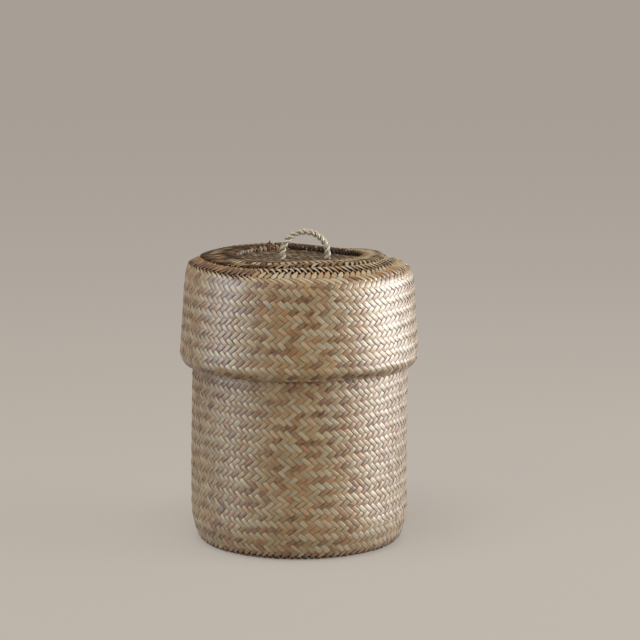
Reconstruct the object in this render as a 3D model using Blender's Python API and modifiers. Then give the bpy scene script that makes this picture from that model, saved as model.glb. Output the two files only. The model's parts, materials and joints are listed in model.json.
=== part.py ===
"""A round plaited basket with a deep lid and a twisted cord handle, standing upright.

Units are metres and +Z is up. The origin is the middle of the underside, and the front looks along -Y.
The basket, the lid and the handle each hang from an empty. The lid's empty is on the line that it lifts
along, and the handle's empty is on the line through its two feet that it tips about.
"""

from math import atan2, cos, floor, hypot, pi, radians, sin, sqrt

import bpy
from mathutils import Vector

# The plaited fabric and the fits
PLAIT = 0.0024
GAP = 0.0003
SEAT_GAP = 0.0004
COURSE_HEIGHT = 0.0146
COURSE_RELIEF = 0.0010

# The basket
BODY_RADIUS = 0.1246
BODY_HEIGHT = 0.3145
BODY_TAPER = 0.0019
CORNER_HEIGHT = 0.040
CORNER_INSET = 0.0101
RIM_BEAD = 0.0025
RIM_HEM_DEPTH = 0.024
RIM_HEM_THICKNESS = 0.0018
EDGE_TIP_HEIGHT = 0.0045
EDGE_HEIGHT = 0.0120
EDGE_UNDERCUT = 0.0015
EDGE_LAP = 0.0060
EDGE_NOTCH = 0.0018

# The lid
LID_EASE = 0.0067
SHOULDER_ROUND = 0.0155
SHOULDER_TURN = radians(65)
SKIRT_DEPTH = 0.0905
SKIRT_FLARE = 0.0068
HEM_TUCK_DROP = 0.0095
HEM_FULLNESS = 0.0012
MOUTH_EASE = 0.0012
OUTER_RING_WIDTH = 0.0170
OUTER_RING_RISE = 0.0070
INNER_RING_RISE = 0.0028
INNER_RING_WIDTH = 0.0334
RECESS_DEPTH = 0.0055
NOTCH_DEPTH = 0.0030

# The handle
HANDLE_SPAN = 0.0508
HANDLE_RISE = 0.0290
LEG_RISE = 0.0045
HANDLE_OFFSET = 0.0066
PLY_RADIUS = 0.0014
PLY_GAP = 0.0004
CORD_LAY = 0.0145
FOOT_TAPER = 0.0045
FOOT_NARROWING = 0.45
ROOT_CLEARANCE = 0.0004
KNOT_RADIUS = 0.0058
KNOT_HEIGHT = 0.0080
KNOT_ROUNDING = 0.0024

# Counts of strips round the plait, and of flats round plain turned pieces
BODY_COLUMNS = 92
LID_COLUMNS = 98
TURN_STEPS = 40
KNOT_STEPS = 12
CURL_POINTS = 8

# Places that follow from the sizes above
BASE_RADIUS = BODY_RADIUS - CORNER_INSET - EDGE_UNDERCUT
FLOOR_RADIUS = BASE_RADIUS - EDGE_LAP
RIM_RADIUS = BODY_RADIUS - BODY_TAPER
RIM_Z = BODY_HEIGHT - RIM_BEAD
RIM_CENTRE = RIM_RADIUS - RIM_BEAD
WALL_TOP = RIM_Z - RIM_BEAD - GAP
SHOULDER_RADIUS = RIM_RADIUS + LID_EASE
SHOULDER_CENTRE = SHOULDER_RADIUS - SHOULDER_ROUND
SEAT_REACH = SHOULDER_ROUND - PLAIT - RIM_BEAD - SEAT_GAP
LID_Z = RIM_Z - sqrt(SEAT_REACH**2 - (RIM_CENTRE - SHOULDER_CENTRE) ** 2)
OUTER_RING_RADIUS = SHOULDER_CENTRE + SHOULDER_ROUND * cos(SHOULDER_TURN)
OUTER_RING_TOP = SHOULDER_ROUND * sin(SHOULDER_TURN)
INNER_RING_RADIUS = OUTER_RING_RADIUS - OUTER_RING_WIDTH
INNER_RING_TOP = OUTER_RING_TOP + OUTER_RING_RISE
RECESS_RADIUS = INNER_RING_RADIUS - INNER_RING_WIDTH
CROWN_TOP = INNER_RING_TOP + INNER_RING_RISE
PANEL_TOP = CROWN_TOP - RECESS_DEPTH
CORD_RADIUS = 2 * PLY_RADIUS + PLY_GAP / 2
PIVOT_RISE = CORD_RADIUS + ROOT_CLEARANCE
FOOT_DROP = PIVOT_RISE - SEAT_GAP
ARCH_LEG = FOOT_DROP + LEG_RISE
ARCH_CROWN = HANDLE_RISE - PIVOT_RISE - LEG_RISE
ARCH_CROWN_LENGTH = pi * (HANDLE_SPAN / 2 + ARCH_CROWN) / 2
ARCH_LENGTH = 2 * ARCH_LEG + ARCH_CROWN_LENGTH
ROOT_RADIUS = CORD_RADIUS - GAP


def body_radius(z):
    """Outer radius of the basket at a height: a soft bottom corner, then a slight taper to the rim."""
    if z < CORNER_HEIGHT:
        return BODY_RADIUS - CORNER_INSET * (1 - z / CORNER_HEIGHT) ** 2
    taper = (z - CORNER_HEIGHT) / (BODY_HEIGHT - CORNER_HEIGHT)
    return BODY_RADIUS + (RIM_RADIUS - BODY_RADIUS) * taper


def skirt_radius(depth):
    """Outer radius of the lid's skirt at a depth below the shoulder."""
    return SHOULDER_RADIUS + SKIRT_FLARE * depth / SKIRT_DEPTH


def courses(radius_at, top, bottom):
    """The outer side of a plaited wall, from its top down. A course is a row of floats that lean right and a
    row that lean left, and each course stands out from the next as a shallow rib.
    """
    rows = 2 * max(round((top - bottom) / COURSE_HEIGHT), 1)
    heights = [top + (bottom - top) * i / rows for i in range(rows + 1)]
    return [(radius_at(z) - COURSE_RELIEF * (i % 2), z) for i, z in enumerate(heights)]


def shoulder_point(radius, angle):
    """A point on the lid's rounded shoulder, as distance from the axis and height."""
    return (SHOULDER_CENTRE + radius * cos(angle), radius * sin(angle))


def material(name, colour, roughness):
    made = bpy.data.materials.new(name)
    made.use_nodes = True
    shader = made.node_tree.nodes["Principled BSDF"]
    shader.inputs["Base Color"].default_value = (*colour, 1.0)
    shader.inputs["Roughness"].default_value = roughness
    shader.inputs["Metallic"].default_value = 0.0
    return made


def place(obj, parent, look):
    obj.parent = parent
    obj.data.materials.append(look)
    basket_parts.objects.link(obj)
    return obj


def empty(name, location, parent):
    made = bpy.data.objects.new(name, None)
    made.empty_display_size = 0.02
    made.parent = parent
    made.location = location
    basket_parts.objects.link(made)
    return made


def turned(name, section, steps, parent, look, closed=True):
    """A turned piece. Its section runs down the outer side, then back up the inner side or to the axis."""
    mesh = bpy.data.meshes.new(name)
    count = len(section)
    edges = [(i, (i + 1) % count) for i in range(count if closed else count - 1)]
    mesh.from_pydata([(radius, 0.0, z) for radius, z in section], edges, [])
    obj = place(bpy.data.objects.new(name, mesh), parent, look)
    screw = obj.modifiers.new("turn", "SCREW")
    screw.steps = steps
    screw.render_steps = steps
    screw.use_merge_vertices = True
    screw.merge_threshold = 0.00001
    screw.use_smooth_shade = True
    return obj


def made_mesh(obj):
    """Turns an object's modifiers into plain mesh, so that its points can be moved."""
    bpy.context.view_layer.update()
    graph = bpy.context.evaluated_depsgraph_get()
    obj.data = bpy.data.meshes.new_from_object(obj.evaluated_get(graph))
    obj.modifiers.clear()
    return obj.data


def notched(obj, columns, depth_at):
    """Pulls in every second radius of a turned piece, by what depth_at gives for the point's place.

    The piece has two steps a column, so the points left alone are the strips' tips and the others are the
    gaps between them.
    """
    for vertex in made_mesh(obj).vertices:
        x, y, z = vertex.co
        radius = hypot(x, y)
        half_columns = atan2(y, x) / (pi / columns)
        if floor(half_columns + 0.5) % 2:
            factor = (radius - depth_at(radius, z)) / radius
            vertex.co = (x * factor, y * factor, z)


def basket_base(parent, look):
    """The plaited floor, flat underneath, which the basket stands on."""
    section = [(0.0, PLAIT), (FLOOR_RADIUS, PLAIT), (FLOOR_RADIUS, 0.0), (0.0, 0.0)]
    turned("basket_base", section, TURN_STEPS, parent, look, closed=False)


def basket_base_edge(parent, look):
    """The row where the floor's strips turn up. Its tips stand out, with a gap between each two."""
    inner = FLOOR_RADIUS + GAP
    section = [
        (body_radius(EDGE_HEIGHT), EDGE_HEIGHT),
        (body_radius(EDGE_TIP_HEIGHT), EDGE_TIP_HEIGHT),
        (BASE_RADIUS, 0.0),
        (inner, 0.0),
        (inner, PLAIT),
        (body_radius(EDGE_TIP_HEIGHT) - PLAIT, EDGE_TIP_HEIGHT + PLAIT / 2),
        (body_radius(EDGE_HEIGHT) - PLAIT, EDGE_HEIGHT),
    ]
    obj = turned("basket_base_edge", section, 2 * BODY_COLUMNS, parent, look)

    def depth_at(radius, z):
        outer_low = z < EDGE_HEIGHT - GAP and radius > BASE_RADIUS - GAP
        return EDGE_NOTCH if outer_low else 0.0

    notched(obj, BODY_COLUMNS, depth_at)


def basket_wall(parent, look):
    """The upright wall, from the soft bottom corner to just under the rim. It is smoother inside."""
    low = EDGE_HEIGHT + GAP
    outer = courses(body_radius, WALL_TOP, low)
    corner = [low + (CORNER_HEIGHT - low) * i / 3 for i in range(4)]
    inner = [(body_radius(z) - PLAIT, z) for z in (*corner, WALL_TOP)]
    turned("basket_wall", outer + inner, TURN_STEPS, parent, look)


def basket_rim(parent, look):
    """The folded upper edge, a soft round bead."""
    sides = 8
    angles = [pi / 2 - 2 * pi * i / sides for i in range(sides)]
    section = [(RIM_CENTRE + RIM_BEAD * cos(a), RIM_Z + RIM_BEAD * sin(a)) for a in angles]
    turned("basket_rim", section, TURN_STEPS, parent, look)


def basket_rim_hem(parent, look):
    """The strip ends that fold over the rim and lie down the inside of the wall."""
    low = WALL_TOP - RIM_HEM_DEPTH
    outer = [(body_radius(z) - PLAIT - GAP, z) for z in (WALL_TOP, low)]
    inner = [(radius - RIM_HEM_THICKNESS, z) for radius, z in reversed(outer)]
    turned("basket_rim_hem", outer + inner, TURN_STEPS, parent, look)


def lid_skirt(parent, look):
    """The lid's flared side and the rounded shoulder above it, one run of plait."""
    turns = 4
    angles = [SHOULDER_TURN * (1 - i / turns) for i in range(turns + 1)]
    shoulder = [shoulder_point(SHOULDER_ROUND, a) for a in angles[:-1]]
    side = courses(lambda z: skirt_radius(-z), 0.0, -SKIRT_DEPTH)
    hem_inside = (skirt_radius(SKIRT_DEPTH) - PLAIT, -SKIRT_DEPTH)
    inner = [shoulder_point(SHOULDER_ROUND - PLAIT, a) for a in reversed(angles)]
    turned("lid_skirt", [*shoulder, *side, hem_inside, *inner], TURN_STEPS, parent, look)


def lid_hem(parent, look):
    """The skirt's lower edge, turned in on a slant to the basket wall."""
    top = -SKIRT_DEPTH - GAP
    wide = skirt_radius(SKIRT_DEPTH)
    mouth_z = top - HEM_TUCK_DROP
    mouth = body_radius(LID_Z + mouth_z) + MOUTH_EASE
    turns = 3
    outer = []
    for i in range(turns + 1):
        share = i / turns
        swell = HEM_FULLNESS * sin(pi * share)
        radius = wide + (mouth - wide) * share + swell
        z = top + (mouth_z - top) * share
        outer.append((radius, z - swell))
    low_inner = (mouth + GAP, mouth_z + PLAIT)
    top_inner = (wide - PLAIT, top)
    middle_inner = ((low_inner[0] + top_inner[0]) / 2, (low_inner[1] + top_inner[1]) / 2 - HEM_FULLNESS)
    turned("lid_hem", [*outer, low_inner, middle_inner, top_inner], TURN_STEPS, parent, look)


def lid_outer_ring(parent, look):
    """The ring of strips that run outward on the top. Its tips are notched apart at the shoulder."""
    tip_top = shoulder_point(SHOULDER_ROUND, SHOULDER_TURN)
    tip_low = shoulder_point(SHOULDER_ROUND - PLAIT, SHOULDER_TURN)
    inner = INNER_RING_RADIUS + GAP
    section = [
        (inner, INNER_RING_TOP),
        (tip_top[0] - GAP - SEAT_GAP, tip_top[1] + GAP),
        (tip_low[0] - GAP - SEAT_GAP, tip_low[1] + GAP),
        (inner, INNER_RING_TOP - PLAIT),
    ]
    obj = turned("lid_outer_ring", section, 2 * LID_COLUMNS, parent, look)
    edge = INNER_RING_RADIUS + OUTER_RING_WIDTH / 2
    notched(obj, LID_COLUMNS, lambda radius, z: NOTCH_DEPTH if radius > edge else 0.0)


def lid_inner_ring(parent, look):
    """The ring between the outer ring and the recess, a little higher towards the middle."""
    inner = RECESS_RADIUS + PLAIT + GAP
    section = [
        (inner, CROWN_TOP),
        (INNER_RING_RADIUS - GAP, INNER_RING_TOP),
        (INNER_RING_RADIUS - GAP, INNER_RING_TOP - PLAIT),
        (inner, CROWN_TOP - PLAIT),
    ]
    obj = turned("lid_inner_ring", section, 2 * LID_COLUMNS, parent, look)
    edge = (INNER_RING_RADIUS + RECESS_RADIUS) / 2
    notched(obj, LID_COLUMNS, lambda radius, z: NOTCH_DEPTH if radius > edge else 0.0)


def lid_recess_wall(parent, look):
    """The low wall that goes down from the crown of the lid to its sunken middle."""
    low = PANEL_TOP - PLAIT
    outer = RECESS_RADIUS + PLAIT
    section = [
        (RECESS_RADIUS + PLAIT / 2, CROWN_TOP + PLAIT / 4),
        (outer, CROWN_TOP),
        (outer, low),
        (RECESS_RADIUS, low),
        (RECESS_RADIUS, CROWN_TOP),
    ]
    turned("lid_recess_wall", section, TURN_STEPS, parent, look)


def lid_centre_panel(parent, look):
    """The sunken middle of the lid, with a hole for each end of the handle's cord."""
    radius = RECESS_RADIUS - GAP
    section = [(0.0, PANEL_TOP), (radius, PANEL_TOP), (radius, PANEL_TOP - PLAIT), (0.0, PANEL_TOP - PLAIT)]
    panel = turned("lid_centre_panel", section, TURN_STEPS, parent, look, closed=False)
    for side in (-1, 1):
        bpy.ops.mesh.primitive_cylinder_add(
            vertices=KNOT_STEPS,
            radius=ROOT_RADIUS + GAP,
            depth=4 * PLAIT,
        )
        hole = bpy.context.object
        hole.name = "cord_hole_left" if side < 0 else "cord_hole_right"
        hole.parent = parent
        hole.location = (HANDLE_OFFSET + side * HANDLE_SPAN / 2, 0.0, PANEL_TOP - PLAIT / 2)
        hole.hide_render = True
        hole.display_type = "WIRE"
        for group in list(hole.users_collection):
            group.objects.unlink(hole)
        cutters.objects.link(hole)
        cut = panel.modifiers.new(hole.name, "BOOLEAN")
        cut.operation = "DIFFERENCE"
        cut.object = hole


def arch_point(along):
    """The cord's middle line and the way outward, at a length along it from the left foot's end.

    It is seen from the front, from the line that the handle tips about. The legs are straight and the top is
    half an ellipse.
    """
    half_span = HANDLE_SPAN / 2
    if along < ARCH_LEG:
        return Vector((-half_span, 0.0, along - FOOT_DROP)), Vector((-1.0, 0.0, 0.0))
    if along > ARCH_LENGTH - ARCH_LEG:
        return Vector((half_span, 0.0, ARCH_LENGTH - along - FOOT_DROP)), Vector((1.0, 0.0, 0.0))
    turn = pi * (1 - (along - ARCH_LEG) / ARCH_CROWN_LENGTH)
    middle = Vector((half_span * cos(turn), 0.0, LEG_RISE + ARCH_CROWN * sin(turn)))
    outward = Vector((ARCH_CROWN * cos(turn), 0.0, half_span * sin(turn)))
    return middle, outward.normalized()


def handle_ply(name, phase, parent, look):
    """One of the two plies that wind round each other along the arch. It narrows at its feet."""
    steps = round(ARCH_LENGTH / CORD_LAY * CURL_POINTS)
    wind_radius = PLY_RADIUS + PLY_GAP / 2
    across = Vector((0.0, 1.0, 0.0))
    curve = bpy.data.curves.new(name, "CURVE")
    curve.dimensions = "3D"
    curve.bevel_depth = PLY_RADIUS
    curve.bevel_resolution = 1
    curve.use_fill_caps = True
    spline = curve.splines.new("POLY")
    spline.points.add(steps)
    for i, point in enumerate(spline.points):
        along = ARCH_LENGTH * i / steps
        middle, outward = arch_point(along)
        foot = min(along, ARCH_LENGTH - along) / FOOT_TAPER
        narrow = min(FOOT_NARROWING + (1 - FOOT_NARROWING) * foot, 1.0)
        angle = phase - 2 * pi * along / CORD_LAY
        wind = wind_radius * narrow * (outward * cos(angle) + across * sin(angle))
        point.co = (*(middle + wind), 1.0)
        point.radius = narrow**2
    place(bpy.data.objects.new(name, curve), parent, look)


def handle_root(name, side, parent, look):
    """The cord's end: it goes down through the panel and is knotted underneath."""
    knot_top = -PLAIT - GAP
    knot_low = knot_top - KNOT_HEIGHT
    section = [
        (0.0, 0.0),
        (ROOT_RADIUS, 0.0),
        (ROOT_RADIUS, knot_top),
        (KNOT_RADIUS, knot_top - KNOT_ROUNDING),
        (KNOT_RADIUS, knot_low + KNOT_ROUNDING),
        (ROOT_RADIUS, knot_low),
        (0.0, knot_low),
    ]
    obj = turned(name, section, KNOT_STEPS, parent, look, closed=False)
    obj.location = (HANDLE_OFFSET + side * HANDLE_SPAN / 2, 0.0, PANEL_TOP)


for old in list(bpy.data.objects):
    bpy.data.objects.remove(old, do_unlink=True)

basket_parts = bpy.data.collections.new("plaited_basket")
cutters = bpy.data.collections.new("cutters")
for group in (basket_parts, cutters):
    bpy.context.scene.collection.children.link(group)

straw = material("straw_strips", (0.56, 0.44, 0.28), 0.45)
edge_straw = material("edge_strips", (0.60, 0.49, 0.30), 0.5)
brown_straw = material("brown_strips", (0.30, 0.19, 0.10), 0.55)
grey_straw = material("grey_strips", (0.40, 0.34, 0.25), 0.5)
cord = material("pale_cord", (0.72, 0.64, 0.48), 0.6)

basket_frame = empty("basket_frame", (0.0, 0.0, 0.0), None)
lid_frame = empty("lid_frame", (0.0, 0.0, LID_Z), basket_frame)
handle_pivot = empty("handle_pivot", (HANDLE_OFFSET, 0.0, PANEL_TOP + PIVOT_RISE), lid_frame)

basket_base(basket_frame, grey_straw)
basket_base_edge(basket_frame, edge_straw)
basket_wall(basket_frame, straw)
basket_rim(basket_frame, edge_straw)
basket_rim_hem(basket_frame, straw)

lid_skirt(lid_frame, straw)
lid_hem(lid_frame, edge_straw)
lid_outer_ring(lid_frame, edge_straw)
lid_inner_ring(lid_frame, brown_straw)
lid_recess_wall(lid_frame, brown_straw)
lid_centre_panel(lid_frame, grey_straw)

handle_ply("handle_ply_a", 0.0, handle_pivot, cord)
handle_ply("handle_ply_b", pi, handle_pivot, cord)
handle_root("handle_root_left", -1, lid_frame, cord)
handle_root("handle_root_right", 1, lid_frame, cord)
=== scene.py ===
"""The looks of a lidded plaited basket: every strip of the plait, the cord handle, the light and the camera.

All sizes are in metres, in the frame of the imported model. A plait is described on a lattice: X counts half
columns round the axis and Y counts strip crossings along the fabric, so that a strip that leans right has
X = 2q + Y and one that leans left has X = 2p - Y. Each strip passes over two others and then under two.

An angle round the axis is 0 in front and positive to the right. A tone goes from 0, dark, to 1, pale.
"""

import json
from math import cos, hypot, pi, radians, sin

import bpy
import numpy as np
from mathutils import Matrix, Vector


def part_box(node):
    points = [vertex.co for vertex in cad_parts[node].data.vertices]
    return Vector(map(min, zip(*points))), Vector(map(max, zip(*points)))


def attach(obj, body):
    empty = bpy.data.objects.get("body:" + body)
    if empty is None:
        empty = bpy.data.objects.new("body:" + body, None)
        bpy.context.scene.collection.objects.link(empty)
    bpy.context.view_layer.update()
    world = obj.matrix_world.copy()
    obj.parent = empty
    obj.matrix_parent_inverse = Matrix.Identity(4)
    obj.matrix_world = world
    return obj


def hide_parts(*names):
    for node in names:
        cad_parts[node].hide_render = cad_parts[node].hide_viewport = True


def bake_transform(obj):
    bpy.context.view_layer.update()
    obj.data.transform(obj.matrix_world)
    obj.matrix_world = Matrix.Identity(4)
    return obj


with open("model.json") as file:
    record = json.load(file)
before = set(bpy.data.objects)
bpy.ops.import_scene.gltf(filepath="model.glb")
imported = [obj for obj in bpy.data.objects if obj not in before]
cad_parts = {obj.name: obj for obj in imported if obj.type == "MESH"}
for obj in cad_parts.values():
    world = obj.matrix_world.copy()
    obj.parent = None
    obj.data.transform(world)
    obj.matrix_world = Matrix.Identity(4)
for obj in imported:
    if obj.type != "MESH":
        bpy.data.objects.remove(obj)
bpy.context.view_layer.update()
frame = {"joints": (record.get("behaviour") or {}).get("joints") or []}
random = np.random.default_rng(20)

# The two families of strips: 1 leans right and -1 leans left. The strips of a family share how far they
# go over and under, how far they bulge, their middle tone, and how much of their column they fill.
FAMILIES = ((1, "right"), (-1, "left"))
STRIP_SWING = {1: 0.00040, -1: 0.00054}
STRIP_DOME = {1: 0.62, -1: 0.76}
# The gap between the two middle tones is painted light and shade: left-leaning strips paler, right-leaning
# darker
STRIP_TONE_AND_LIGHT = {1: 0.30, -1: 0.68}
STRIP_FILL = {1: 0.975, -1: 0.995}

# One crossing of the plait, and a strip's way over and under it
CELL_HEIGHT = 0.00366
CELL_ALONG = 0.0056
STRIP_THICKNESS = 0.00080
FLOAT_FLATNESS = 1.5
SHOWN_FROM = -0.55
SHOWN_TO = 0.15
END_NARROWING = 0.05
STEPS_PER_CELL = 3

# How much strips and their floats differ from each other
UNEVEN_PLACES = 0.085
TONE_OF_STRIP = 0.36
TONE_OF_FLOAT = 0.48
LEAST_TONE = 0.06
RARE_DARK = 0.992
FLOAT_RISE = 0.00014
FLOAT_TILT = 0.00011
FLOAT_WIDTH = 0.07
WIDTH_WAVES = 0.02
WIDTH_WAVE_LENGTH = 0.05

# How far apart strips and families lie in the noise of the materials, so that no two look the same
STRIP_APART = 0.73
FAMILY_APART = 91.0

# Slow drift of the crossings: how many crossings, waves round the axis, and change with each crossing
LIFT_WAVES = [(0.20, 2, 0.05), (0.13, 5, -0.11), (0.07, 14, 0.35)]
ASIDE_WAVES = [(0.22, 3, 0.13), (0.10, 9, -0.41)]
STEADY_ENDS = 6

# Section across one strip: places from edge to edge, and how far each stands off the strip's middle
ACROSS = np.array([-1.0, -0.86, -0.48, 0.0, 0.48, 0.86, 1.0, 0.55, -0.55])
SECTION = np.array([0.0, 0.60, 0.93, 1.02, 0.93, 0.60, 0.0, -0.85, -0.85])

# The basket: the fabric, the bottom corner, the hem's depth and the columns are as in its solids
FABRIC = 0.0024
LAYER = FABRIC / 2
CORNER_HEIGHT = 0.040
CORNER_INSET = 0.0101
HEM_INSIDE = 0.024
BODY_COLUMNS = 92
WALL_GROUPS = 3

# The turn from the floor to the wall, and the height at which the tips of its strips part
FLOOR_LAP = 0.0060
FOOT_REACH = 0.0030
FOOT_BEND = 0.0016
HEM_LEAN = 0.0003
TURN_Z = 0.0066
TIP_Z = 0.0030

# The floor's plait
FLOOR_COLUMNS = 120
FLOOR_HALF = 0.0042
FLOOR_CELL = 0.0037
FLOOR_TURN = 0.3
FLOOR_OVERLAP = 0.0015
FLOOR_STEPS = 150

# The lid: the shoulder and the columns are as in its solids
SHOULDER_ROUND = 0.0155
SHOULDER_TURN = radians(65)
LID_COLUMNS = 98
LID_GROUPS = 2
MOUTH_EASE = 0.0030

# The first floats of the outer ring, which are long on the left and short on the right
PETAL_LENGTH = 0.0142
SHORT_PETAL = 0.0068

# Angles between which they shorten, on the left of the front and on its right, and by what share.
# At the back they grow long again.
CHANGE_LEFT = (radians(-34), radians(-10))
CHANGE_RIGHT = (radians(10), radians(38))
CHANGE_BACK = (radians(150), radians(178))
CHANGED_IN_FRONT = 0.57
CHANGED_ON_THE_RIGHT = 0.43

# The lid's inner ring and the wall of its recess are one plait
CROWN_COLUMNS = 84
CROWN_CELL = 0.0057
CROWN_STEPS_PER_CELL = 6
CROWN_SWING = 1.2

# The plait of the lid's sunken middle
PANEL_COLUMNS = 80
PANEL_HALF = 0.0040
PANEL_CELL = 0.0036
PANEL_TURN = 0.12
PANEL_OVERLAP = 0.0006
PANEL_EDGE_RISE = 0.0004
PANEL_STEPS = 110

# The handle: its span and height are as in its solids, and its plies are a little fuller
HANDLE_SPAN = 0.0508
HANDLE_RISE = 0.0290
LEG_RISE = 0.0045
FOOT_DEPTH = 0.012
FOOT_TOP = 0.002
CORD_SINK = 0.0020
CORD_LAY = 0.0136
PLY_RADIUS = 0.00168
PLY_SPREAD = 1.14
PLY_FULLNESS = 1.13
PLY_UNEVEN = 0.05
FIBRE_LAY = 0.022
CORD_TONE = 0.62
CORD_TONES = 0.22

# Where painted shade darkens the crease between the plies: distances from the cord's middle, in ply radii
CREASE = (0.4, 1.2)


def low(node):
    """The lowest corner of a node's box."""
    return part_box(node)[0]


def high(node):
    """The highest corner of a node's box."""
    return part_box(node)[1]


# Places taken from the solids
rim_radius = high("basket_rim")[0]
body_radius = high("basket_wall")[0]
body_height = high("basket_rim")[2]
floor_radius = high("basket_base")[0]
hem_radius = high("lid_skirt")[0]
hem_z = low("lid_skirt")[2]
mouth_z = low("lid_hem")[2]
notch_radius = high("lid_outer_ring")[0]
notch_z = high("lid_skirt")[2]
ring_radius = high("lid_inner_ring")[0]
ring_z = high("lid_outer_ring")[2]
crown_z = high("lid_inner_ring")[2]
panel_z = high("lid_centre_panel")[2]
panel_radius = high("lid_centre_panel")[0]
tilt_joint = next(joint for joint in frame["joints"] if joint["name"] == "handle_tilt")
pivot = Vector(tilt_joint["pos_m"])


# Soft steps and waves


def smoothstep(value, start, end):
    """0 up to the start, 1 from the end on, and a soft rise between."""
    t = np.clip((value - start) / (end - start), 0, 1)
    return t * t * (3 - 2 * t)


def bell(value, at, width):
    """1 at a place, and less to both sides of it."""
    return np.exp(-(((value - at) / width) ** 2))


def waves_round(angle, along, waves):
    """A sum of waves round the axis: how much, how many, change along the fabric or upward, and phase."""
    return sum(much * np.sin(many * angle + change * along + phase) for much, many, change, phase in waves)


def waves_along(along, seed, scale):
    """A smooth, seeded line of ups and downs, about -1 to 1."""
    total = np.zeros(np.broadcast(along, seed).shape)
    for octave in range(3):
        rate = 2**octave / scale
        total += np.sin(along * rate * 6.3 + seed * (13.1 + 7.7 * octave)) / 1.7**octave
    return total / 1.6


def wobble(count, amount, waves):
    """Slow, seamless ups and downs round a ring of strips, and a little that differs from strip to strip."""
    turn = np.arange(count) / count * 2 * pi
    total = random.normal(0, 0.5, count)
    for wave in waves:
        total += random.normal(0, 0.8) * np.sin(wave * turn + random.uniform(0, 2 * pi))
    return total * amount


def wrapped(angle):
    """An angle round the axis between -pi and pi."""
    return (angle + pi) % (2 * pi) - pi


def over_under(t):
    """1 on top of a float and -1 underneath, by crossings counted along the strip."""
    return np.tanh(FLOAT_FLATNESS * np.cos(pi * (t - 0.5) / 2)) / np.tanh(FLOAT_FLATNESS)


def between_rows(length, cell):
    """The nearest place between two crossings, where one row of floats can end and the next begin."""
    return round(length / cell - 0.5) + 0.5


# Lines in section


def bezier(start, control, end, count):
    """Points on a curve that leaves the start towards the control and reaches the end from it."""
    t = np.linspace(0, 1, count)[:, None]
    points = (1 - t) ** 2 * np.array(start) + 2 * t * (1 - t) * np.array(control) + t**2 * np.array(end)
    return [tuple(point) for point in points]


def arc(centre, radius, start, end, count):
    """Points on an arc in section. Angles are in degrees from the outward direction, up being 90."""
    angles = np.radians(np.linspace(start, end, count))
    return [(centre[0] + radius * cos(a), centre[1] + radius * sin(a)) for a in angles]


class Profile:
    """A fabric's middle line in section, from its points (distance from the axis, height)."""

    STEP = 0.0002
    SMOOTHED_OVER = 5

    def __init__(self, points):
        points = np.array(points, float)
        lengths = np.r_[0, np.cumsum(np.hypot(*np.diff(points, axis=0).T))]
        self.length = lengths[-1]
        self.s = np.linspace(0, self.length, int(self.length / self.STEP))
        self.r = self.smooth(np.interp(self.s, lengths, points[:, 0]))
        self.z = self.smooth(np.interp(self.s, lengths, points[:, 1]))
        tangent_r = self.smooth(np.gradient(self.r, self.s))
        tangent_z = self.smooth(np.gradient(self.z, self.s))
        size = np.hypot(tangent_r, tangent_z)
        self.normal_r = tangent_z / size
        self.normal_z = -tangent_r / size

    def smooth(self, values):
        padded = np.pad(values, self.SMOOTHED_OVER // 2, mode="reflect", reflect_type="odd")
        return np.convolve(padded, np.ones(self.SMOOTHED_OVER) / self.SMOOTHED_OVER, mode="valid")

    def at(self, s, offset):
        """Distance from the axis and height, at a length along the profile and a distance off it."""
        r = np.interp(s, self.s, self.r) + offset * np.interp(s, self.s, self.normal_r)
        z = np.interp(s, self.s, self.z) + offset * np.interp(s, self.s, self.normal_z)
        return r, z

    def nearest(self, r, z):
        """The length along the profile of its point nearest to a place."""
        return self.s[np.argmin(np.hypot(self.r - r, self.z - z))]


def body_outer(z):
    """Outer radius of the basket at a height, as in its solids but for their ribs."""
    taper = (z - CORNER_HEIGHT) / (body_height - CORNER_HEIGHT)
    upright = body_radius + (rim_radius - body_radius) * np.clip(taper, 0, 1)
    corner = CORNER_INSET * (1 - np.clip(z / CORNER_HEIGHT, 0, 1)) ** 2
    return upright - corner


def body_profile():
    """From under the floor's edge, round the bottom corner, up the wall, over the rim and down inside."""
    foot = [(floor_radius - FLOOR_LAP, LAYER), (floor_radius + FOOT_REACH, LAYER)]
    corner_end = (body_outer(TURN_Z) - LAYER, TURN_Z)
    bend = bezier(foot[-1], (corner_end[0] - FOOT_BEND, LAYER), corner_end, 10)
    heights = np.linspace(TURN_Z, body_height - 2 * LAYER, 60)[1:]
    wall = [(body_outer(z) - LAYER, z) for z in heights]
    fold_centre = (wall[-1][0] - LAYER, heights[-1])
    fold = arc(fold_centre, LAYER, 0, 180, 9)[1:]
    hem = [(fold[-1][0] - HEM_LEAN, fold_centre[1] - HEM_INSIDE)]
    return Profile([*foot, *bend[1:], *wall, *fold, *hem])


# Steps outward and up in the section of the lid
KNEE_HEIGHT = 0.0010
KNEE_TUCK = (-0.0033, 0.0016)
INSIDE_END = (-0.0006, 0.013)
RISE_BEND = (0.0010, -0.0020)
RISE_END = (-0.0003, 0.0050)
SHOULDER_OUT = 0.0007
RING_END = (0.0020, -0.0006)
UNDER_CROWN = (-0.0042, -0.0024)
CROWN_START = (-0.0045, -0.0018)
CROWN_EDGE = (0.0022, -0.0013)
CROWN_UNDERSIDE = (-0.0012, -0.0012)
CROWN_LIP = (-0.0012, 0.0002)
LIP_BEND = (0.0008, 0.0002)
DOME_BEND = 0.0150
RECESS_CORNER_WIDTH = 0.0024
RECESS_CORNER_HEIGHT = 0.0020
BELOW_PANEL = 0.0014


def moved(point, outward, up):
    """A point in section, moved by a step."""
    return point[0] + outward, point[1] + up


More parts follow.
